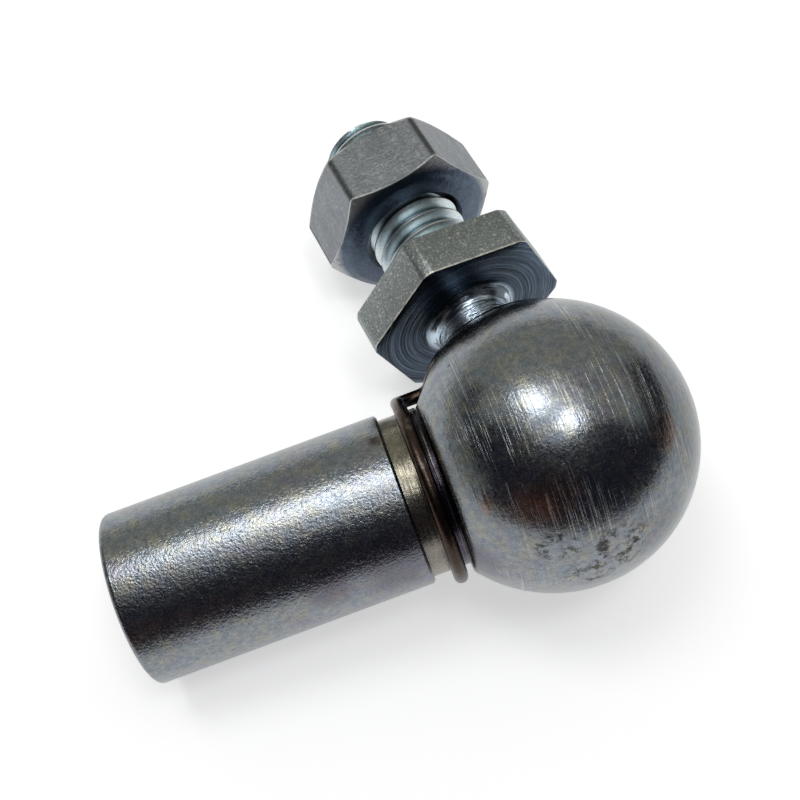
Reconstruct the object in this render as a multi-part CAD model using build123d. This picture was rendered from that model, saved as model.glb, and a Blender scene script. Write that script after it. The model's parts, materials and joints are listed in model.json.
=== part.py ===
from build123d import *
import math
import os

# Angle ball joint with a 10 mm ball and M6 threads, in millimetres.
# Each piece is drawn in the joint's own frame: origin at the ball's centre, X along the socket's shank,
# Z square out of the socket's mouth. At the end all of them are laid down together as the joint comes to
# rest on a level surface, with Z up.

# Threads, both M6. They are drawn as plain cylinders on their outer diameter.
thread_diameter = 6.0
thread_length = 12.5         # on the stud, from the hexagon's outer face to the tip
tip_chamfer = 0.6
hole_depth = 11.5            # full thread in the shank
drill_point_angle = 118.0
countersink = 0.3            # at the mouth of the shank's hole and at both ends of the nut's

# Ball stud
ball_diameter = 10.0
stud_neck_diameter = 4.5
ball_fillet = 0.5            # where the neck leaves the ball
seat_distance = 12.8         # ball centre to the outer face of the hexagon, which seats the lever
hex_thickness = 2.8
hex_width = 11.0             # across flats
hex_turned_diameter = 12.35  # the bar is turned down to this, so the corners are blunt
hex_fillet = 1.1             # under the hexagon

# Nut
nut_width = 10.0             # across flats
nut_thickness = 5.0
nut_bearing_diameter = 9.0   # flat ring left inside each face's chamfer
nut_chamfer_angle = 30.0
nut_gap = 4.6                # from the hexagon to the nut
nut_clearance = 0.05         # all round the thread

# Ball socket
head_diameter = 16.6
mouth_distance = 5.4         # ball centre to the flat of the mouth
mouth_chamfer = 0.2
seat_clearance = 0.05        # all round the ball
shank_diameter = 10.0
shank_length = 25.0          # ball centre to the shank's end
end_rounding = 0.3
neck_diameter = 9.3          # bottom of the groove that is turned between head and shank
neck_start = 6.5             # ball centre to the groove's wall on the head
neck_end = 8.7               # ball centre to the shoulder that ends the shank
head_edge_rounding = 0.4
shoulder_chamfer = 0.15
flat_distance = 7.8          # ball centre to a flat knocked on the head beside the mouth
flat_lean = 60.0             # degrees that its middle lies off the mouth's axis
flat_azimuth = 30.0          # and to the Y side of the shank

# Snap ring that keeps the ball in
snap_wire = 1.0
snap_coil_diameter = 10.0    # through the middle of the wire
snap_gap = 2.5               # between its two ends
snap_clearance = 0.05        # to the ball and to the groove's side walls

# Safety clip: round the neck, up over the edge of the mouth, and round the stud
clip_wire = 0.8
clip_neck_clearance = 0.1
clip_head_gap = 0.4          # between the wire and the groove's wall on the head
clip_mouth_clearance = 0.02
clip_leg_spacing = 3.0       # between the two legs that run over the mouth's edge
clip_bend_radius = 1.2       # where a leg turns down to the neck
clip_loop_bend_radius = 0.9  # where it swings out into the loop
clip_loop_diameter = 11.0    # through the middle of the wire
clip_loop_gap = 44.0         # degrees left open on the side away from the shank

# How the stud stands in the socket: its ball turns freely within 18 degrees of the mouth's axis.
stud_lean = 17.6             # degrees off the mouth's axis
stud_azimuth = 63.7          # way it leans, from the shank towards Y
hex_turn = 12.2              # a corner of the hexagon, from the shank's direction about the stud
nut_turn = 56.4              # a corner of the nut, the same way
shank_heading = 200.0        # where the shank points on the surface, seen from above, from X

ball_radius = ball_diameter / 2
thread_radius = thread_diameter / 2
head_radius = head_diameter / 2
shank_radius = shank_diameter / 2
seat_radius = ball_radius + seat_clearance
hex_distance = seat_distance - hex_thickness
nut_distance = seat_distance + nut_gap
tip_distance = seat_distance + thread_length
nut_bore_radius = thread_radius + nut_clearance
spare = 1.0                  # by which shapes used for cutting reach past the metal


upwards = (Align.CENTER, Align.CENTER, Align.MIN)


def direction(lean, azimuth):
    # Unit vector leaning so far off Z, the way that azimuth says.
    flat = math.sin(math.radians(lean))
    turn = math.radians(azimuth)
    return Vector(flat * math.cos(turn), flat * math.sin(turn), math.cos(math.radians(lean)))


def across(axis, towards):
    # The part of a direction that is square to an axis.
    return (towards - axis * axis.dot(towards)).normalized()


stud_axis = direction(stud_lean, stud_azimuth)
stud_frame = Plane(origin=(0, 0, 0), x_dir=across(stud_axis, Vector(1, 0, 0)), z_dir=stud_axis)


def hexagon(width, turn):
    return Rot(0, 0, turn) * RegularPolygon(width / 2, 6, major_radius=False)


def nearest_corner(profile, x, y):
    return profile.vertices().sort_by_distance(Vector(x, y, 0))[0]


def make_ball_stud():
    # A turned profile in X and Y, with Y along the stud, then the flats milled on its flange.
    neck_radius = stud_neck_diameter / 2
    turned_radius = hex_turned_diameter / 2
    ball_edge = math.sqrt(ball_radius**2 - neck_radius**2)
    corner = (Align.MIN, Align.MIN)
    profile = Circle(ball_radius) & Rectangle(ball_radius, 2 * ball_radius, align=(Align.MIN, Align.CENTER))
    profile += Rectangle(neck_radius, seat_distance, align=corner)
    profile += Pos(0, hex_distance) * Rectangle(turned_radius, hex_thickness, align=corner)
    profile += Rectangle(thread_radius, tip_distance, align=corner) - Rectangle(
        thread_radius, hex_distance, align=corner
    )
    profile = fillet(nearest_corner(profile, neck_radius, ball_edge), ball_fillet)
    profile = fillet(nearest_corner(profile, neck_radius, hex_distance), hex_fillet)
    profile = chamfer(nearest_corner(profile, thread_radius, tip_distance), tip_chamfer)
    turned = revolve(Plane.XZ * profile, Axis.Z)
    flange = Pos(0, 0, hex_distance)
    waste = flange * extrude(Circle(turned_radius + spare) - hexagon(hex_width, hex_turn), hex_thickness)
    return stud_frame.location * (turned - waste)


def make_hex_nut():
    # A hexagon cut off bar, its faces chamfered by a cone and its hole countersunk.
    bearing_radius = nut_bearing_diameter / 2
    outer_radius = nut_width / math.sqrt(3) + spare
    fall = (outer_radius - bearing_radius) * math.tan(math.radians(nut_chamfer_angle))
    turned = Polyline(
        (0, 0),
        (bearing_radius, 0),
        (outer_radius, fall),
        (outer_radius, nut_thickness - fall),
        (bearing_radius, nut_thickness),
        (0, nut_thickness),
        close=True,
    )
    nut = extrude(hexagon(nut_width, nut_turn), nut_thickness) & revolve(Plane.XZ * make_face(turned), Axis.Z)
    nut -= extrude(Circle(nut_bore_radius), nut_thickness)
    bore_edges = nut.edges().filter_by(GeomType.CIRCLE).sort_by(SortBy.RADIUS)[:2]
    nut = chamfer(bore_edges, countersink)
    return stud_frame.location * Pos(0, 0, nut_distance) * nut


def make_ball_socket():
    # Head, neck and shank are turned about X, each drawn as its half section above X.
    neck_radius = neck_diameter / 2
    from_left = (Align.MIN, Align.MIN)
    head = Circle(head_radius) & Pos(-head_radius) * Rectangle(
        head_radius + neck_start, head_radius, align=from_left
    )
    head_edge = math.sqrt(head_radius**2 - neck_start**2)
    head = fillet(nearest_corner(head, neck_start, head_edge), head_edge_rounding)
    shank = Pos(neck_start) * Rectangle(neck_end - neck_start, neck_radius, align=from_left)
    shank += Pos(neck_end) * Rectangle(shank_length - neck_end, shank_radius, align=from_left)
    shank = chamfer(nearest_corner(shank, neck_end, shank_radius), shoulder_chamfer)
    shank = fillet(nearest_corner(shank, shank_length, shank_radius), end_rounding)
    flat_way = direction(flat_lean, flat_azimuth)
    flat_waste = Plane(origin=flat_way * flat_distance, z_dir=flat_way) * Cylinder(
        head_radius, head_radius, align=upwards
    )
    socket = revolve(head, Axis.X) - flat_waste + revolve(shank, Axis.X)

    # The mouth is faced off square to Z, and the seat goes in through it.
    socket -= Pos(0, 0, mouth_distance) * Cylinder(head_radius, head_radius, align=upwards)
    seat = Sphere(seat_radius) + Cylinder(seat_radius, head_radius, align=upwards)
    seat += Pos(0, 0, snap_height) * Cylinder(groove_radius, snap_wire + 2 * snap_clearance)
    seat += Pos(0, 0, mouth_distance - mouth_chamfer) * Cone(
        seat_radius, seat_radius + 2 * mouth_chamfer, 2 * mouth_chamfer, align=upwards
    )
    return socket - seat - shank_hole()


def shank_hole():
    # Tapped hole with the drill's point at its bottom and a countersunk mouth.
    hole_end = shank_length - hole_depth
    point = thread_radius / math.tan(math.radians(drill_point_angle / 2))
    outline = Polyline(
        (hole_end - point, 0),
        (hole_end, thread_radius),
        (shank_length - countersink, thread_radius),
        (shank_length, thread_radius + countersink),
        (shank_length, 0),
        close=True,
    )
    return revolve(make_face(outline), Axis.X)


# The snap ring lies where its wire just clears the ball, and springs out into a groove as the ball goes in.
snap_radius = snap_coil_diameter / 2
snap_height = math.sqrt((ball_radius + snap_clearance + snap_wire / 2) ** 2 - snap_radius**2)
groove_radius = seat_radius + snap_wire


def make_snap_ring():
    section = Plane.XZ * Pos(snap_radius, snap_height) * Circle(snap_wire / 2)
    open_angle = math.degrees(snap_gap / snap_radius)
    return Rot(0, 0, open_angle / 2) * revolve(section, Axis.Z, 360 - open_angle)


# The clip's turn round the neck is square to the shank, and its loop lies on the mouth.
neck_turn_radius = neck_diameter / 2 + clip_neck_clearance + clip_wire / 2
clip_distance = neck_start + clip_head_gap + clip_wire / 2
clip_height = mouth_distance + clip_mouth_clearance + clip_wire / 2


def clip_side(side):
    # One half of the wire from its free end to the back of the neck, side being 1 or -1.
    loop_radius = clip_loop_diameter / 2
    half_spacing = clip_leg_spacing / 2

    def flat_point(ahead, aside):
        return Vector(ahead, side * aside, clip_height)

    def loop_point(angle):
        return flat_point(loop_radius * math.cos(angle), loop_radius * math.sin(angle))

    def neck_point(angle):
        around = side * neck_turn_radius * math.sin(angle)
        return Vector(clip_distance, around, neck_turn_radius * math.cos(angle))

    # The loop swings out of the leg by an arc that touches both.
    swing_aside = half_spacing + clip_loop_bend_radius
    swing_ahead = math.sqrt((loop_radius + clip_loop_bend_radius) ** 2 - swing_aside**2)
    leave = math.atan2(swing_aside, swing_ahead)
    half_turn = math.pi / 4 + leave / 2
    swing_middle = flat_point(
        swing_ahead - clip_loop_bend_radius * math.sin(half_turn - leave),
        swing_aside - clip_loop_bend_radius * math.cos(half_turn - leave),
    )
    leg_start = flat_point(swing_ahead, half_spacing)
    free_end = math.pi - math.radians(clip_loop_gap / 2)

    # The leg turns down over the edge of the mouth and runs straight on to touch the neck's turn.
    corner = flat_point(clip_distance, half_spacing)
    arrive = math.atan2(half_spacing, clip_height)
    arrive += math.acos(neck_turn_radius / math.hypot(half_spacing, clip_height))
    leg = Vector(1, 0, 0)
    upright = (neck_point(arrive) - corner).normalized()
    cut = clip_bend_radius * math.tan(math.radians(leg.get_angle(upright) / 2))
    inwards = (upright - leg).normalized()
    bend_middle = corner + inwards * (math.hypot(clip_bend_radius, cut) - clip_bend_radius)
    return [
        ThreePointArc(loop_point(free_end), loop_point((free_end + leave) / 2), loop_point(leave)),
        ThreePointArc(loop_point(leave), swing_middle, leg_start),
        Line(leg_start, corner - leg * cut),
        ThreePointArc(corner - leg * cut, bend_middle, corner + upright * cut),
        Line(corner + upright * cut, neck_point(arrive)),
        ThreePointArc(neck_point(arrive), neck_point((arrive + math.pi) / 2), neck_point(math.pi)),
    ]


def make_safety_clip():
    # One length of round wire, bent the same way on both sides.
    halves = []
    for side in (1, -1):
        route = Wire(clip_side(side))
        section = Plane(origin=route @ 0, z_dir=route % 0) * Circle(clip_wire / 2)
        halves.append(sweep(section, path=route))
    return halves[0] + halves[1]


def shank_dip():
    # Angle below level at which the shank's rounded end and the head touch one plane.
    reach = shank_length - end_rounding
    rim = shank_radius - end_rounding
    return math.asin((head_radius - end_rounding) / math.hypot(reach, rim)) - math.atan2(rim, reach)


def stud_depth(down):
    # How far the stud and its nut reach down below the ball's centre, with down as a unit vector.
    x_axis = stud_frame.x_dir
    y_axis = stud_frame.y_dir
    nut_corner = nut_width / math.sqrt(3)
    nut_fall = (nut_corner - nut_bearing_diameter / 2) * math.tan(math.radians(nut_chamfer_angle))
    hex_levels = (hex_distance, seat_distance)
    nut_levels = (nut_distance + nut_fall, nut_distance + nut_thickness - nut_fall)
    slope = down.dot(stud_axis)
    depth = slope * tip_distance + (thread_radius - tip_chamfer) * math.sqrt(1 - slope**2)
    for levels, radius, first in (
        (hex_levels, hex_turned_diameter / 2, hex_turn),
        (nut_levels, nut_corner, nut_turn),
    ):
        for corner in range(6):
            angle = math.radians(first + 60 * corner)
            outwards = x_axis * math.cos(angle) + y_axis * math.sin(angle)
            for level in levels:
                depth = max(depth, slope * level + radius * down.dot(outwards))
    return depth


# The roll about the shank at which the joint rests lies between these two, and is found by halving.
first_roll = 90.0
last_roll = 216.0
roll_halvings = 50


def lying_down():
    # The downward direction in the joint's own frame. The joint lies on its head, on the rim of the
    # shank's end and on a corner of the nut or the stud, so it is rolled about the shank until the stud
    # reaches as low as the head.
    dip = shank_dip()

    def down_at(roll):
        flat = math.cos(dip)
        return Vector(math.sin(dip), flat * math.cos(roll), flat * math.sin(roll))

    stud_below = math.radians(first_roll)
    stud_above = math.radians(last_roll)
    for halving in range(roll_halvings):
        roll = (stud_below + stud_above) / 2
        if stud_depth(down_at(roll)) > head_radius:
            stud_below = roll
        else:
            stud_above = roll
    return down_at(roll)


def lay_down(pieces):
    # Place that takes the joint's own frame to the surface, under the middle of the whole joint.
    up = lying_down() * -1
    shank_way = across(up, Vector(1, 0, 0))
    heading = math.radians(shank_heading)
    x_axis = shank_way * math.cos(heading) - up.cross(shank_way) * math.sin(heading)
    turned = Plane(origin=(0, 0, 0), x_dir=x_axis, z_dir=up).location.inverse()
    box = Compound(children=[turned * piece for piece in pieces]).bounding_box()
    return Pos(-box.center().X, -box.center().Y, -box.min.Z) * turned


pieces = {
    "ball_socket": make_ball_socket(),
    "safety_clip": make_safety_clip(),
    "snap_ring": make_snap_ring(),
    "ball_stud": make_ball_stud(),
    "hex_nut": make_hex_nut(),
}
placement = lay_down(pieces.values())

os.makedirs("parts", exist_ok=True)
for name, piece in pieces.items():
    export_step(placement * piece, f"parts/{name}.step")
    print(name, round(piece.volume, 2), "cubic mm")
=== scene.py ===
import json
import math

import bmesh
import bpy
from mathutils import Matrix, Vector


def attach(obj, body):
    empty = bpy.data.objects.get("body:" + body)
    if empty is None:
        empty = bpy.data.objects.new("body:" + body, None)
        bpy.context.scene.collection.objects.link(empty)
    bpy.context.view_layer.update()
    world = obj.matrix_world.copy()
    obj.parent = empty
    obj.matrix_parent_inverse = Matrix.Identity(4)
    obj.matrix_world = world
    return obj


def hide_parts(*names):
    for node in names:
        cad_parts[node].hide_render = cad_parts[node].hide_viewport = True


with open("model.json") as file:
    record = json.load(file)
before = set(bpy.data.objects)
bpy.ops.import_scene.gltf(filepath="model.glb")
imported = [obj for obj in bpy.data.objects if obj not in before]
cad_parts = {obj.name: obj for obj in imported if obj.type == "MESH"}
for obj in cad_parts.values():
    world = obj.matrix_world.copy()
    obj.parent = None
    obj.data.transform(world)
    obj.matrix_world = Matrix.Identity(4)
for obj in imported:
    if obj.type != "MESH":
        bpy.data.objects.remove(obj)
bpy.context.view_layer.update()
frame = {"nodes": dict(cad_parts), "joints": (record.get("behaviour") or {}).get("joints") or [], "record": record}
mm = 0.001  # the object's sizes below are in millimetres


# ---- where the pieces stand, from the frame's own joints and mounts

joints = {joint["name"]: joint for joint in frame["joints"]}
mounts = {mount["name"]: mount for mount in frame["record"]["mounts"]}
ballCentre = Vector(joints["ring_turn"]["pos_m"])
mouthWay = Vector(joints["ring_turn"]["axis"])
studWay = Vector(joints["nut_travel"]["axis"])
shankWay = Vector(mounts["shank_thread"]["axis"])


def frameOf(xWay, zWay):
    # a frame at the ball's centre, with z along zWay and x as near to xWay as it goes
    z = zWay.normalized()
    x = (xWay - z * xWay.dot(z)).normalized()
    rows = Matrix((x, z.cross(x), z))
    return Matrix.Translation(ballCentre) @ rows.transposed().to_4x4()


socketFrame = frameOf(shankWay, mouthWay)  # x along the shank, z out of the mouth
studFrame = frameOf(shankWay, studWay)  # z along the stud
shankFrame = frameOf(mouthWay, shankWay)  # z along the shank, for its tapped hole


# ---- shader maths as expressions


class Signal:
    # one output socket of a finish, with the operators that add Math or Vector Math nodes
    def __init__(self, finish, socket):
        self.finish = finish
        self.socket = socket

    def maths(self, operation, *values):
        flat = all(getattr(v, "socket", self.socket).type == "VALUE" for v in (self, *values))
        flat = flat and not any(isinstance(v, (tuple, list, Vector)) for v in values)
        kind = "ShaderNodeMath" if flat else "ShaderNodeVectorMath"
        inputs = (self, *values)
        if not flat:
            inputs = [(v, v, v) if isinstance(v, (int, float)) else v for v in inputs]
        output = "Value" if flat or operation in ("LENGTH", "DOT_PRODUCT") else "Vector"
        return self.finish.node(kind, {"operation": operation}, dict(enumerate(inputs)), output)

    def reflected(self, operation, number):
        return self.finish.signal(number).maths(operation, self)

    def __add__(self, other):
        return self.maths("ADD", other)

    def __radd__(self, other):
        return self.maths("ADD", other)

    def __sub__(self, other):
        return self.maths("SUBTRACT", other)

    def __rsub__(self, other):
        return self.reflected("SUBTRACT", other)

    def __mul__(self, other):
        return self.maths("MULTIPLY", other)

    def __rmul__(self, other):
        return self.maths("MULTIPLY", other)

    def __truediv__(self, other):
        return self.maths("DIVIDE", other)

    def __rtruediv__(self, other):
        return self.reflected("DIVIDE", other)

    def __abs__(self):
        return self.maths("ABSOLUTE")

    def rising(self, low, high):
        # 0 below low, 1 above high, smooth between; the other way round where low is the larger
        settings = {"interpolation_type": "SMOOTHSTEP"}
        inputs = {0: self, 1: low, 2: high, 3: 0.0, 4: 1.0}
        return self.finish.node("ShaderNodeMapRange", settings, inputs)

    def within(self, low, high, soft):
        return self.rising(low - soft, low) * self.rising(high + soft, high)

    def most(self, other):
        return self.maths("MAXIMUM", other)

    def parts(self):
        kind = "ShaderNodeSeparateXYZ"
        return [self.finish.node(kind, {}, {0: self}, output) for output in range(3)]


class Finish:
    # a material whose nodes are written as expressions
    def __init__(self, name):
        self.material = bpy.data.materials.new(name)
        self.material.use_nodes = True
        self.tree = self.material.node_tree
        self.tree.nodes.clear()

    def node(self, kind, settings, inputs, output=0):
        made = self.tree.nodes.new(kind)
        for name, value in settings.items():
            setattr(made, name, value)
        for name, value in inputs.items():
            if isinstance(value, Signal):
                self.tree.links.new(value.socket, made.inputs[name])
            else:
                made.inputs[name].default_value = value
        return Signal(self, made.outputs[output]) if len(made.outputs) else None

    def signal(self, number):
        return self.node("ShaderNodeMath", {"operation": "ADD"}, {0: number, 1: 0.0})

    def place(self, pieceFrame):
        # millimetres in the piece's own frame
        turn = pieceFrame.to_3x3().transposed()
        moved = turn @ pieceFrame.translation * (-1 / mm)
        where = self.node("ShaderNodeTexCoord", {}, {}, "Object")
        inputs = {
            "Vector": where,
            "Location": moved,
            "Rotation": turn.to_euler(),
            "Scale": (1 / mm, 1 / mm, 1 / mm),
        }
        return self.node("ShaderNodeMapping", {"vector_type": "POINT"}, inputs)

    def joined(self, x, y, z):
        return self.node("ShaderNodeCombineXYZ", {}, {0: x, 1: y, 2: z})

    def noise(self, where, scale=1.0, detail=3.0, rough=0.6):
        inputs = {"Vector": where, "Scale": scale, "Detail": detail, "Roughness": rough}
        return self.node("ShaderNodeTexNoise", {"noise_dimensions": "3D"}, inputs)

    def cells(self, where, scale):
        # distance to the nearest of many scattered points
        inputs = {"Vector": where, "Scale": scale}
        return self.node("ShaderNodeTexVoronoi", {"feature": "F1"}, inputs, "Distance")

    def mix(self, share, first, second):
        # 6, 7 and 2 are the sockets for colours
        inputs = {0: share, 6: opaque(first), 7: opaque(second)}
        return self.node("ShaderNodeMix", {"data_type": "RGBA"}, inputs, 2)

    def near(self, where, place, radius, soft):
        # 1 within radius of a place, fading over soft
        away = (where - place).maths("LENGTH")
        return away.rising(radius + soft, radius)

    def bump(self, height):
        # height in millimetres
        return self.node("ShaderNodeBump", {}, {"Height": height, "Strength": 1.0, "Distance": mm})

    def metal(self, colour, roughness, height):
        inputs = {
            "Base Color": colour,
            "Roughness": roughness,
            "Metallic": 1.0,
            "Normal": self.bump(height),
        }
        return self.shownBy(self.node("ShaderNodeBsdfPrincipled", {}, inputs))

    def shownBy(self, shader):
        self.node("ShaderNodeOutputMaterial", {}, {"Surface": shader})
        return self.material


def opaque(colour):
    return colour if isinstance(colour, Signal) else (*colour, 1.0)


def axisDistance(first, second):
    # kept just above 0, so that it can divide
    return (first * first + second * second).maths("SQRT") + 0.001


# ---- meshes wrapped round an axis


sharpAngle = 35.0  # degrees; edges that turn more than this stay crisp
weld = 1e-4  # millimetres; points nearer than this become one


def makeMesh(name, points, faces, pieceFrame):
    # one closed mesh from points in the piece's own frame, in millimetres
    mesh = bpy.data.meshes.new(name)
    mesh.from_pydata([pieceFrame @ (Vector(p) * mm) for p in points], [], faces)
    work = bmesh.new()
    work.from_mesh(mesh)
    bmesh.ops.remove_doubles(work, verts=work.verts, dist=weld * mm)
    bmesh.ops.dissolve_degenerate(work, edges=work.edges, dist=weld / 10 * mm)
    bmesh.ops.recalc_face_normals(work, faces=work.faces)
    work.to_mesh(mesh)
    work.free()
    mesh.polygons.foreach_set("use_smooth", [True] * len(mesh.polygons))
    mesh.set_sharp_from_angle(angle=math.radians(sharpAngle))
    piece = bpy.data.objects.new(name, mesh)
    bpy.context.scene.collection.objects.link(piece)
    return piece


def wrap(points, faces, rings, turnRows=0):
    # skins over rings of equal count; in a screw, a ring's end meets the ring turnRows further on
    first = len(points)
    count = len(rings[0])
    last = len(rings) - 1
    for oneRing in rings:
        points.extend(oneRing)
    for row in range(last):
        for k in range(count):
            step = turnRows if k == count - 1 else 0
            here = (row, row + 1)
            there = (min(row + step, last), min(row + 1 + step, last))
            across = (k + 1) % count
            faces.append(
                (
                    first + here[0] * count + k,
                    first + there[0] * count + across,
                    first + there[1] * count + across,
                    first + here[1] * count + k,
                )
            )


def around(sides):
    return [2 * math.pi * side / sides for side in range(sides)]


def ring(angles, radius, height):
    # radius and height are numbers, or functions of the angle
    radiusAt = radius if callable(radius) else lambda angle: radius
    heightAt = height if callable(height) else lambda angle: height
    return [(radiusAt(a) * math.cos(a), radiusAt(a) * math.sin(a), heightAt(a)) for a in angles]


quarters = (0.25, 0.5, 0.75, 1.0)


def hexOutline(width, turn, sharpness, limit=math.inf):
    # distance from the axis to the side of a hexagon with slightly rounded corners
    half = width / 2
    ways = [math.radians(turn + 30 + 60 * side) for side in range(6)]

    def outline(angle):
        total = sum(max(0.0, math.cos(angle - way)) ** sharpness for way in ways)
        return min(half / total ** (1 / sharpness), limit)

    return outline


# ---- the thread

thread = {
    "pitch": 1.0,
    "radius": 3.0,
    "depth": 0.61,
    "crest": 0.07,  # half the width of the flat on top
    "rowsPerTurn": 14,
    "nutMinor": 2.5,
    "nutMajor": 3.05,
    "flankAngle": 30.0,  # of each flank, from square to the axis
    "soft": 0.03,  # rounding of crests and roots
    "play": 0.035,  # between the two threads, measured across the axis
}


def threadRadius(height, angle):
    # a 60 degree thread, its crests and roots rounded a little
    top = thread["radius"]
    low = top - thread["depth"]
    turns = height / thread["pitch"] - angle / (2 * math.pi)
    offCrest = abs((turns + 0.5) % 1.0 - 0.5) * thread["pitch"]
    flank = top - (offCrest - thread["crest"]) / math.tan(math.radians(thread["flankAngle"]))
    flank = top - softPlus(top - flank, thread["soft"])
    return low + softPlus(flank - low, thread["soft"])


def softPlus(value, soft):
    # max(value, 0) with its corner rounded
    return (value + math.hypot(value, soft)) / 2


def screwRings(angles, bottom, top, radiusAt):
    # rings that climb one pitch a turn, held between two heights
    rows = thread["rowsPerTurn"]
    rings = []
    for row in range(int(math.ceil((top - bottom) / thread["pitch"] + 1) * rows) + 1):
        rise = thread["pitch"] * (row / rows - 1)

        def heightAt(angle, rise=rise):
            return min(max(bottom + rise + thread["pitch"] * angle / (2 * math.pi), bottom), top)

        rings.append(ring(angles, lambda a: radiusAt(heightAt(a), a), heightAt))
    return rings


def wrapScrew(points, faces, angles, bottom, top, radiusAt):
    wrap(points, faces, screwRings(angles, bottom, top, radiusAt), thread["rowsPerTurn"])


# ---- the ball stud

stud = {
    "ballRadius": 5.0,
    "neckRadius": 2.25,
    "ballFillet": 0.5,
    "hexFillet": 1.1,
    "hexBottom": 10.0,
    "hexTop": 12.8,
    "hexWidth": 11.0,
    "hexLimit": 6.175,  # the bar's radius, which blunts the corners
    "hexTurn": 12.2,
    "sharpness": 90,  # of the hexagon's corners
    "edge": 0.09,  # rounding of the hexagon's edges
    "tip": 25.3,
    "tipChamfer": 0.6,
    "runout": 0.9,  # length over which the thread fades out at the hexagon
    "runoutRadius": 2.6,  # at its start
    "neckRing": 1.0,  # a ring of points this far below the fillet under the hexagon
    "sides": 240,
    "ballSteps": 48,
    "ballFilletSteps": 6,
    "hexFilletSteps": 14,
}


def arcRings(angles, middle, radius, start, end, steps):
    # rings along an arc of the half section; angles of the arc in degrees, from across to up
    rings = []
    for step in range(steps + 1):
        way = math.radians(start + (end - start) * step / steps)
        reach = max(middle[0] + radius * math.cos(way), 0.0)
        rings.append(ring(angles, reach, middle[1] + radius * math.sin(way)))
    return rings


def makeStud():
    angles = around(stud["sides"])
    outline = hexOutline(stud["hexWidth"], stud["hexTurn"], stud["sharpness"], stud["hexLimit"])
    edge = stud["edge"]
    fillet = stud["ballFillet"]
    reach = stud["neckRadius"] + fillet
    ballToFillet = math.degrees(math.acos(reach / (stud["ballRadius"] + fillet)))
    filletHeight = math.sqrt((stud["ballRadius"] + fillet) ** 2 - reach**2)
    rings = arcRings(angles, (0, 0), stud["ballRadius"], -90, ballToFillet, stud["ballSteps"])
    middle = (reach, filletHeight)
    rings += arcRings(angles, middle, fillet, 180 + ballToFillet, 180, stud["ballFilletSteps"])
    under = stud["hexBottom"]
    bend = stud["hexFillet"]
    start = stud["neckRadius"] + bend
    rings.append(ring(angles, stud["neckRadius"], under - bend - stud["neckRing"]))
    rings += arcRings(angles, (start, under - bend), bend, 180, 90, stud["hexFilletSteps"])

    def underRing(share):
        # on the hexagon's underside, this share of the way from the fillet to the edge
        return ring(angles, lambda a: start + (outline(a) - edge - start) * share, under)

    def edgeRing(step, face, inwards):
        # on the quarter circle, in three steps, that rounds the hexagon's edge at one face
        way = math.pi / 6 * step
        inset = edge * (1 - math.sin(way))
        height = face + inwards * edge * (1 - math.cos(way))
        return ring(angles, lambda a: outline(a) - inset, height)

    rings += [underRing(share) for share in quarters]
    rings += [edgeRing(step, under, 1) for step in (1, 2, 3)]
    rings += [edgeRing(step, stud["hexTop"], -1) for step in (3, 2, 1, 0)]

    def studThread(height, angle):
        fade = min(max((height - stud["hexTop"]) / stud["runout"], 0.0), 1.0)
        least = stud["runoutRadius"]
        radius = least + (threadRadius(height, angle) - least) * fade * fade * (3 - 2 * fade)
        return min(radius, thread["radius"] - stud["tipChamfer"] + stud["tip"] - height)

    rings.append(ring(angles, lambda a: studThread(stud["hexTop"], a), stud["hexTop"]))
    points, faces = [], []
    wrap(points, faces, rings)
    wrapScrew(points, faces, angles, stud["hexTop"], stud["tip"], studThread)
    rim = ring(angles, lambda a: studThread(stud["tip"], a), stud["tip"])
    wrap(points, faces, [rim, ring(angles, 0.0, stud["tip"])])
    return makeMesh("threadedStud", points, faces, studFrame)


# ---- the nut

nut = {
    "bottom": 17.4,
    "height": 5.0,
    "width": 10.0,
    "turn": 56.4,
    "bearing": 4.5,  # radius of the flat ring inside the chamfers
    "chamfer": 30.0,
    "countersink": 0.3,
    "sharpness": 80,  # of its corners
    "sides": 240,
}


def makeNut():
    angles = around(nut["sides"])
    outline = hexOutline(nut["width"], nut["turn"], nut["sharpness"])
    top = nut["bottom"] + nut["height"]
    slope = math.tan(math.radians(nut["chamfer"]))

    def chamferRing(share, face, inwards):
        # on one face's chamfer, this share of the way from its flat ring to the outline
        return ring(
            angles,
            lambda a: nut["bearing"] + (outline(a) - nut["bearing"]) * share,
            lambda a: face + inwards * (outline(a) - nut["bearing"]) * slope * share,
        )

    def boreRadius(height, angle):
        cut = max(thread["nutMinor"], threadRadius(height, angle) + thread["play"])
        sink = nut["countersink"] - min(height - nut["bottom"], top - height)
        return max(min(cut, thread["nutMajor"]), thread["nutMajor"] + sink)

    mouth = thread["nutMajor"] + nut["countersink"]
    rings = [ring(angles, mouth, nut["bottom"]), ring(angles, nut["bearing"], nut["bottom"])]
    rings += [chamferRing(share, nut["bottom"], 1) for share in quarters]
    rings += [chamferRing(share, top, -1) for share in reversed(quarters)]
    rings += [ring(angles, nut["bearing"], top), ring(angles, mouth, top)]
    points, faces = [], []
    wrap(points, faces, rings)
    wrapScrew(points, faces, angles, nut["bottom"], top, boreRadius)
    return makeMesh("threadedNut", points, faces, studFrame)


# ---- the tapped hole's thread

tappedHole = {
    "start": 13.6,
    "end": 24.68,
    "wall": 2.995,
    "band": 0.02,  # least thickness of the ridges' outer wall
    "fadeIn": 1.5,  # length over which the ridges rise, deep in the hole
    "fadeOut": 0.5,  # the same at its mouth
    "sides": 160,
}


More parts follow.
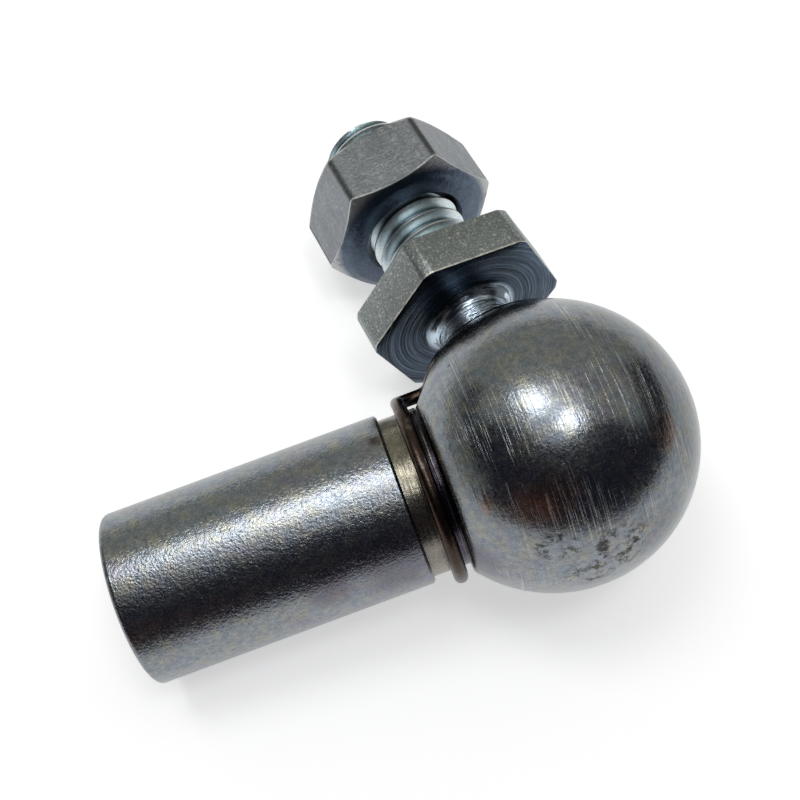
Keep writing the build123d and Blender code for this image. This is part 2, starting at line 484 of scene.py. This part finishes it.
def makeShankThread():
    angles = around(tappedHole["sides"])
    start, end, wall = tappedHole["start"], tappedHole["end"], tappedHole["wall"]
    inside = wall - tappedHole["band"]

    def holeRadius(height, angle):
        fromBottom, toMouth = height - start, end - height
        fade = min(fromBottom / tappedHole["fadeIn"], toMouth / tappedHole["fadeOut"], 1.0)
        cut = min(max(thread["nutMinor"], threadRadius(height, angle) + thread["play"]), inside)
        return inside - (inside - cut) * fade

    points, faces = [], []
    wrap(points, faces, [ring(angles, inside, start), ring(angles, wall, start)])
    wrap(points, faces, [ring(angles, wall, start), ring(angles, wall, end)])
    wrap(points, faces, [ring(angles, wall, end), ring(angles, inside, end)])
    wrapScrew(points, faces, angles, start, end, holeRadius)
    return makeMesh("shankThread", points, faces, shankFrame)


# ---- finishes

socketLook = {
    "zinc": (0.215, 0.243, 0.28),
    "warm": (0.265, 0.265, 0.235),
    "violet": (0.225, 0.195, 0.26),
    "bare": (0.56, 0.56, 0.53),
    "grime": (0.045, 0.032, 0.022),
    "collar": (0.24, 0.216, 0.158),
    # painted shade: near-black colour for the groove between the wire and the head, where shade falls
    "groove": (0.032, 0.028, 0.04),
    "rust": (0.30, 0.17, 0.10),
    "roughness": 0.13,
    "grainScale": 5.5,
    "fineScale": 9.0,
    # heights of the bumps in millimetres
    "grainHeight": 0.007,
    "grainOnShank": 0.015,
    "fineHeight": 0.004,
    "fineOnShank": 0.006,
    "pitDepth": 0.02,
    "scratchDepth": 0.008,
    # along the shank from the ball's centre, each with its soft edge
    "headEnd": (6.45, 6.25),
    "grooveEnd": (7.35, 7.1),
    "shankStart": (8.6, 8.8),
    # places on the socket in its own frame: middle, radius, softness
    "pitted": (
        ((-0.9, 0.0, -8.2), 1.0, 1.2),
        ((2.3, 1.5, -7.8), 0.7, 0.7),
        ((0.8, -1.2, -8.1), 0.8, 1.0),
    ),
    "rusty": (
        ((-5.0, 4.0, -5.2), 0.3, 1.1),
        ((4.9, 3.8, -5.6), 0.1, 0.9),
        ((1.6, 4.3, -6.9), 0.4, 1.5),
    ),
    "tinted": (
        ((6.3, -0.5, -5.3), 0.8, 1.6),
        ((14.1, 0.9, -4.9), 0.6, 1.2),
        ((10.3, 0.6, -5.0), 0.8, 2.2),
    ),
    "dirty": (
        ((9.1, 4.9, 0.2), 0.15, 0.4),
        ((8.4, 4.6, 1.9), 0.3, 1.0),
        ((4.1, 7.1, 1.6), 0.08, 0.1),
    ),
    # painted shade: places on the head whose colour is darkened to dim its reflections there
    "shadedSpots": (
        ((-7.5, 1.5, -2.5), 2.5, 4.0),
        ((-6.5, 5.0, 1.0), 2.0, 4.0),
        ((-4.0, -1.0, -7.5), 0.5, 3.0),
    ),
    "scratched": (
        ((-3.2, 6.7, -3.4), 1.4, 1.4),
        ((2.9, 6.9, -3.6), 1.2, 1.6),
        ((0.3, 3.0, -7.6), 1.0, 1.8),
    ),
}


def spots(finish, where, places, ragged):
    # the places of one kind, their edges broken up by noise
    shifted = where + (finish.noise(where, scale=1.4) - 0.5) * ragged
    found = [finish.near(shifted, *place) for place in places]
    return found[0].most(found[1]).most(found[2])


def socketFinish():
    look = socketLook
    finish = Finish("zincOnSocket")
    where = finish.place(socketFrame)
    x, y, z = where.parts()
    fromAxis = axisDistance(y, z)
    round1, round2 = y / fromAxis, z / fromAxis
    onShank = x.rising(*look["shankStart"])
    onHead = x.rising(*look["headEnd"])
    onCollar = (1 - onShank) * (1 - onHead)
    grain = finish.noise(where, look["grainScale"], detail=2.0)
    fine = finish.noise(where, look["fineScale"], detail=2.0)
    bumps = finish.cells(where, scale=4.5).rising(0.34, 0.0)
    patches = finish.noise(where, scale=1.3, detail=4.0)
    mottle = finish.noise(where, scale=2.6).rising(0.32, 0.68)
    speck = fine.rising(0.34, 0.66)
    cloud = finish.noise(where, scale=0.5)
    # turned lines and scratches go round the shank's axis
    fineLines = finish.noise(finish.joined(x * 12.0, round1 * 0.75, round2 * 0.75))
    broadLines = finish.noise(finish.joined(x * 4.0, round1 * 1.4, round2 * 1.4))
    scratched = spots(finish, where, look["scratched"], ragged=2.0) * 0.8
    grazed = finish.noise(where, scale=0.32, detail=1.0, rough=0.5).rising(0.5, 0.62) * 0.7
    scratched = scratched.most(grazed) * (1 - onShank)
    scratches = fineLines.rising(0.59, 0.64) * scratched
    dents = fineLines.rising(0.4, 0.35) * scratched
    pitted = spots(finish, where, look["pitted"], ragged=1.5)
    pits = finish.noise(where, scale=1.5, detail=6.0, rough=0.75).rising(0.5, 0.6) * pitted
    fewPits = finish.noise(where, scale=3.0, detail=4.0, rough=0.7).rising(0.68, 0.74)
    pits = pits.most(fewPits * cloud.rising(0.45, 0.6) * 0.8)
    dirt = spots(finish, where, look["dirty"], ragged=1.2)
    tint = spots(finish, where, look["tinted"], ragged=2.0) * (0.4 + mottle * 0.6)
    rust = spots(finish, where, look["rusty"], ragged=1.5)
    spotShade = spots(finish, where, look["shadedSpots"], ragged=2.0)
    # painted shade darkens the groove on the head side of the wire, leaving its fine turned lines pale
    groove = onCollar * (x + (fineLines - 0.5) * 0.3).rising(*look["grooveEnd"])
    colour = finish.mix(patches.rising(0.35, 0.75), look["zinc"], look["warm"])
    colour = finish.mix(cloud.rising(0.5, 0.8) * 0.6, colour, look["violet"])
    colour = finish.mix(scratches * 0.8, colour, look["bare"])
    colour = finish.mix(onCollar * 0.8, colour, look["collar"])
    colour = finish.mix(groove * (1 - fineLines.rising(0.6, 0.66)), colour, look["groove"])
    colour = finish.mix(tint * 0.6, colour, look["violet"])
    colour = finish.mix(rust * 0.5, colour, look["rust"])
    colour = colour * (0.74 + speck * 0.28 + mottle * 0.26) * (1 - tint * 0.4) * (1 - dents * 0.5)
    # painted shade: the colour darkened in those places
    colour = colour * (1 - spotShade * 0.32)
    grime = pits.most(dirt * patches.rising(0.35, 0.5)) * 0.8
    colour = finish.mix(grime, colour, look["grime"])
    roughness = look["roughness"] + onShank * 0.02 + speck * 0.08 + patches * 0.12
    roughness = roughness + pits * 0.3 + dirt * 0.25
    grainHeight = (grain - 0.5) * (look["grainHeight"] + onShank * look["grainOnShank"])
    grainHeight = grainHeight + (fine - 0.5) * (look["fineHeight"] + onShank * look["fineOnShank"])
    lineHeight = (broadLines - 0.5) * onHead * 0.01
    lineHeight = lineHeight + (fineLines - 0.5) * (onHead * 0.002 + onCollar * 0.03)
    height = grainHeight + lineHeight + (patches - 0.5) * 0.012 - pits * look["pitDepth"]
    height = height - (scratches + dents) * look["scratchDepth"]
    height = height + bumps * (0.0025 + onShank * 0.003)
    return finish.metal(colour, roughness, height)


studLook = {
    # painted shade: dark blue for the hexagon's underside, which lies in shade over the head
    "shadedBlue": (0.045, 0.07, 0.105),
    "ring": (0.16, 0.23, 0.31),
    # painted highlight: pale colour for the neck and its fillet, standing in for their bright reflection
    "paleHighlight": (0.62, 0.74, 0.86),
    "flat": (0.215, 0.235, 0.24),
    "worn": (0.50, 0.50, 0.46),
    "crest": (0.80, 0.85, 0.86),
    # painted shade in the thread's roots, and painted highlight on its flanks
    "rootShade": (0.14, 0.20, 0.24),
    "flank": (0.72, 0.84, 0.88),
    "roughness": 0.2,
    "grainScale": 7.5,
    # heights of the bumps in millimetres
    "grainHeight": 0.006,
    "ringHeight": 0.02,
    "ringOnFillet": 0.07,
    # distances from the stud's axis, each with its soft edge
    "filletReach": (3.15, 2.6),
    "threadFlank": (2.42, 2.66),
    "threadCrest": (2.78, 2.95),
}


def studFinish():
    look = studLook
    finish = Finish("zincOnStud")
    where = finish.place(studFrame)
    x, y, z = where.parts()
    fromAxis = axisDistance(x, y)
    round1, round2 = x / fromAxis, y / fromAxis
    bottom, top, half = stud["hexBottom"], stud["hexTop"], stud["hexWidth"] / 2
    onThread = z.rising(top + 0.01, top + 0.03)
    onFlats = z.within(bottom + 0.06, top - 0.04, soft=0.03)
    onFlats = onFlats * fromAxis.rising(half - 0.2, half - 0.08)
    onNeck = (1 - onFlats) * (1 - onThread)
    grain = finish.noise(where, look["grainScale"])
    smear = finish.noise(where, scale=0.9)
    # rings left by the turning tool, on the hexagon's underside and down the neck
    across = fromAxis - z
    narrow = finish.joined(across * 10.0, round1 * 0.7, round2 * 0.7)
    grooves = finish.noise(narrow, rough=0.65)
    broad = finish.joined(across * 2.2, round1 * 0.5, round2 * 0.5)
    waves = finish.noise(broad, detail=2.0, rough=0.5)
    brightRing = grooves.rising(0.54, 0.62)
    darkRing = grooves.rising(0.45, 0.38)
    onFillet = fromAxis.rising(*look["filletReach"])
    # painted shade on the underside, with its pale turned rings
    colour = finish.mix(brightRing * 0.6, look["shadedBlue"], look["ring"])
    # painted highlight on the neck and its fillet
    colour = finish.mix(onFillet, colour, look["paleHighlight"])
    colour = colour * (1 - darkRing * 0.8)
    speckled = finish.mix(grain.rising(0.58, 0.68) * 0.7, look["flat"], look["worn"])
    # painted highlight along the hexagon's lower edge, broken up like wear
    edgeHighlightAndWear = z.within(bottom, bottom + 0.12, soft=0.05) * smear.rising(0.35, 0.5)
    colour = finish.mix(onFlats, colour, finish.mix(edgeHighlightAndWear, speckled, look["worn"]))
    # painted shade in the thread's roots, painted highlight on its flanks
    flank = finish.mix(fromAxis.rising(*look["threadFlank"]), look["rootShade"], look["flank"])
    colour = finish.mix(onThread, colour, flank)
    worn = fromAxis.rising(*look["threadCrest"]) * smear.rising(0.3, 0.5)
    colour = finish.mix(onThread * worn, colour, look["crest"])
    colour = colour * (0.62 + grain.rising(0.3, 0.7) * (0.2 + onFlats * 0.35) + smear * 0.4)
    roughness = look["roughness"] + onFlats * 0.12 + onThread * 0.10 + smear * 0.12
    ringHeight = (grooves - 0.5) * (look["ringHeight"] + onFillet * look["ringOnFillet"])
    ringHeight = (ringHeight + (waves - 0.5) * 0.02) * onNeck
    grainHeight = (grain - 0.5) * (look["grainHeight"] + onFlats * 0.018 + onThread * 0.008)
    return finish.metal(colour, roughness, ringHeight + grainHeight)


nutLook = {
    "flat": (0.26, 0.278, 0.30),
    "worn": (0.48, 0.49, 0.49),
    "face": (0.095, 0.125, 0.17),
    # painted shade: near-black for the bore, where shade falls
    "boreShade": (0.06, 0.07, 0.09),
    "roughness": 0.24,
    "grainScale": 6.0,
    # heights of the bumps in millimetres
    "grainHeight": 0.012,
    "markHeight": 0.03,
    # distances from the nut's axis, each with its soft edge
    "boreReach": (3.35, 3.15),
    "flatStart": (4.85, 4.98),
    # where the painted shade on the corners begins
    "cornerShadeStart": (5.6, 5.7),
    # the same from the middle of its height
    "flatReach": (2.3, 1.9),
}


def nutFinish():
    look = nutLook
    finish = Finish("zincOnNut")
    where = finish.place(studFrame)
    x, y, z = where.parts()
    fromAxis = axisDistance(x, y)
    half = nut["height"] / 2
    fromMiddle = abs(z - (nut["bottom"] + half))
    onFlats = fromAxis.rising(*look["flatStart"]) * fromMiddle.rising(*look["flatReach"])
    grain = finish.noise(where, look["grainScale"])
    marks = finish.noise(where, scale=2.6, detail=4.0, rough=0.7)
    smear = finish.noise(finish.joined(x * 0.9, y * 0.9, z * 0.35))
    colour = finish.mix(marks.rising(0.55, 0.65) * 0.5, look["flat"], look["worn"])
    colour = finish.mix(onFlats, look["face"], colour)
    # painted shade in the bore
    colour = finish.mix(fromAxis.rising(*look["boreReach"]), colour, look["boreShade"])
    # painted shade: the nut's rounded corners darkened
    corner = fromAxis.rising(*look["cornerShadeStart"])
    # half the nut's height at the chamfers' edges, and less between them
    fall = (fromAxis - nut["bearing"]) * math.tan(math.radians(nut["chamfer"]))
    rim = (fromMiddle + fall).within(half - 0.1, half, soft=0.05)
    colour = colour * (0.4 + grain.rising(0.3, 0.7) * 0.25 + smear * 0.8) * (1 - corner * 0.6)
    # painted highlight along the chamfers' edges on the flats, broken up like wear
    colour = finish.mix(rim * onFlats * smear.rising(0.3, 0.45), colour, look["worn"])
    roughness = look["roughness"] + onFlats * 0.12 + marks * 0.14
    height = (grain - 0.5) * (look["grainHeight"] + onFlats * 0.018)
    return finish.metal(colour, roughness, height + (marks - 0.5) * look["markHeight"])


wireLook = {
    "brown": (0.055, 0.038, 0.031),
    "bare": (0.13, 0.11, 0.10),
    "roughness": 0.2,
    "grainScale": 5.0,
    "grainHeight": 0.016,  # millimetres
}


def wireFinish():
    look = wireLook
    finish = Finish("darkWire")
    where = finish.place(socketFrame)
    grain = finish.noise(where, look["grainScale"])
    rubbed = finish.noise(where, scale=1.3, detail=2.0, rough=0.5).rising(0.55, 0.7)
    colour = finish.mix(rubbed, look["brown"], look["bare"]) * (0.7 + grain * 0.6)
    roughness = look["roughness"] + grain * 0.14
    return finish.metal(colour, roughness, (grain - 0.5) * look["grainHeight"])


# ---- the pieces

studPiece = makeStud()
studPiece.data.materials.append(studFinish())
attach(studPiece, "stud")
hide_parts("ball_stud")
print("ball stud made")

nutPiece = makeNut()
nutPiece.data.materials.append(nutFinish())
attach(nutPiece, "nut")
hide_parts("hex_nut")
print("nut made")

socketMetal = socketFinish()
holePiece = makeShankThread()
holePiece.data.materials.append(socketMetal)
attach(holePiece, "socket")
print("shank's thread made")

wireMetal = wireFinish()
metals = {"ball_socket": socketMetal, "safety_clip": wireMetal, "snap_ring": wireMetal}
for node, metal in metals.items():
    for slot in frame["nodes"][node].material_slots:
        slot.material = metal
print("finishes given to socket, clip and ring")


# ---- floor, cards, lamps and camera; lengths in metres, but for the camera's place

studio = {
    "floorSize": 1.6,
    "floorColour": (0.82, 0.83, 0.84),
    "floorGlow": 0.54,
    "worldColour": (0.95, 0.96, 0.97),
    "roomRadius": 0.42,
    "roomHeight": 0.45,
    "steps": 24,  # of each curved card
}

ceilings = {
    # colour, bearing in degrees with 0 at the back
    "backCeiling": ((0.47, 0.47, 0.42), 0),
    "frontCeiling": ((0.045, 0.045, 0.055), 180),
}

walls = {
    # colour, bearing and span in degrees, height, distance from the middle
    "backWall": ((0.45, 0.45, 0.40), 0, 176, studio["roomHeight"], studio["roomRadius"]),
    "frontWall": ((0.03, 0.03, 0.042), 180, 184, studio["roomHeight"], studio["roomRadius"]),
    "leftCard": ((0.03, 0.03, 0.042), -72, 32, 0.22, 0.40),
    "oliveCard": ((0.36, 0.36, 0.31), -90, 80, 0.11, 0.38),
    "rightCard": ((0.03, 0.03, 0.042), 68, 44, 0.20, 0.40),
    "brownCard": ((0.13, 0.06, 0.04), 196, 30, 0.20, 0.40),
}

lamps = {
    # direction from the object, distance, size towards the zenith, size across, radiance
    "nearLamp": ((0.11, -0.06, 0.99), 0.36, 0.085, 0.085, 8.5),
    "farLamp": ((-0.33, 0.20, 0.92), 0.36, 0.15, 0.09, 6.5),
    "softLamp": ((-0.08, 0.04, 0.99), 0.40, 0.30, 0.34, 0.9),
}


def makeFloor():
    half = studio["floorSize"] / 2
    mesh = bpy.data.meshes.new("floor")
    corners = [(-half, -half, 0), (half, -half, 0), (half, half, 0), (-half, half, 0)]
    mesh.from_pydata(corners, [], [(0, 1, 2, 3)])
    floor = bpy.data.objects.new("floor", mesh)
    bpy.context.scene.collection.objects.link(floor)
    finish = Finish("paleFloor")
    lit = finish.node("ShaderNodeBsdfDiffuse", {}, {"Color": opaque(studio["floorColour"])})
    glow = finish.node("ShaderNodeEmission", {}, {"Color": (1, 1, 1, 1), "Strength": 1.0})
    # the camera and reflections see the glow, and rough surfaces aren't lit by it
    rays = ("Is Camera Ray", "Is Glossy Ray", "Is Transmission Ray")
    camera, glossy, through = [finish.node("ShaderNodeLightPath", {}, {}, ray) for ray in rays]
    share = camera.most(glossy).most(through) * studio["floorGlow"]
    seen = finish.node("ShaderNodeMixShader", {}, {0: share, 2: glow})
    both = finish.node("ShaderNodeAddShader", {}, {0: lit, 1: seen})
    mesh.materials.append(finish.shownBy(both))


def makeCard(name, colour, points, faces):
    # a glowing card that only reflections and the floor see
    mesh = bpy.data.meshes.new(name)
    mesh.from_pydata(points, [], faces)
    card = bpy.data.objects.new(name, mesh)
    bpy.context.scene.collection.objects.link(card)
    finish = Finish(name)
    glow = finish.node("ShaderNodeEmission", {}, {"Color": opaque(colour), "Strength": 1.0})
    mesh.materials.append(finish.shownBy(glow))
    card.visible_camera = False


def makeWall(name, colour, bearing, span, height, reach):
    steps = studio["steps"]
    points, faces = [], []
    for step in range(steps + 1):
        way = math.radians(bearing + span * (step / steps - 0.5))
        points.append((reach * math.sin(way), reach * math.cos(way), 0.0))
        points.append((reach * math.sin(way), reach * math.cos(way), height))
    for step in range(steps):
        corner = step * 2
        faces.append((corner, corner + 2, corner + 3, corner + 1))
    makeCard(name, colour, points, faces)


def makeCeiling(name, colour, bearing):
    # half of the room's ceiling
    steps = studio["steps"]
    reach = studio["roomRadius"]
    ways = [math.radians(bearing - 90 + 180 * step / steps) for step in range(steps + 1)]
    points = [(reach * math.sin(way), reach * math.cos(way), studio["roomHeight"]) for way in ways]
    makeCard(name, colour, points, [tuple(range(steps + 1))])


def makeLamp(name, way, distance, longSide, shortSide, radiance):
    light = bpy.data.lights.new(name, "AREA")
    light.shape = "ELLIPSE"
    light.size = longSide
    light.size_y = shortSide
    light.energy = radiance * math.pi * (math.pi * longSide * shortSide / 4)
    lamp = bpy.data.objects.new(name, light)
    bpy.context.scene.collection.objects.link(lamp)
    away = Vector(way).normalized()
    upwards = (Vector((0, 0, 1)) - away * away.z).normalized()
    turn = Matrix((upwards, away.cross(upwards), away)).transposed()
    lamp.matrix_world = Matrix.Translation(ballCentre + away * distance) @ turn.to_4x4()


view = {
    "lens": 54.34,
    "sensor": 36.0,
    "clip": (0.005, 10.0),
    "azimuth": 0.41,  # degrees
    "elevation": 65.75,
    "roll": -1.55,
    "aim": (-0.184, -3.035, 9.25),  # millimetres
    "distance": 68.37,  # millimetres
}


def makeCamera():
    azimuth, elevation = math.radians(view["azimuth"]), math.radians(view["elevation"])
    level = math.cos(elevation)
    ahead = Vector((math.sin(azimuth) * level, math.cos(azimuth) * level, -math.sin(elevation)))
    camera = bpy.data.objects.new("camera", bpy.data.cameras.new("camera"))
    bpy.context.scene.collection.objects.link(camera)
    camera.data.lens = view["lens"]
    camera.data.sensor_width = view["sensor"]
    camera.data.clip_start, camera.data.clip_end = view["clip"]
    camera.location = (Vector(view["aim"]) - ahead * view["distance"]) * mm
    roll = Matrix.Rotation(math.radians(-view["roll"]), 3, "Z")
    camera.rotation_euler = (ahead.to_track_quat("-Z", "Y").to_matrix() @ roll).to_euler()
    bpy.context.scene.camera = camera


def makeWorld():
    world = bpy.data.worlds.new("studio")
    bpy.context.scene.world = world
    world.use_nodes = True
    background = world.node_tree.nodes["Background"]
    background.inputs["Color"].default_value = opaque(studio["worldColour"])
    background.inputs["Strength"].default_value = 1.0


makeFloor()
for cardName, card in ceilings.items():
    makeCeiling(cardName, *card)
for cardName, card in walls.items():
    makeWall(cardName, *card)
for lampName, lampSizes in lamps.items():
    makeLamp(lampName, *lampSizes)
makeWorld()
makeCamera()
bpy.context.scene.view_settings.view_transform = "Standard"
print("studio made")
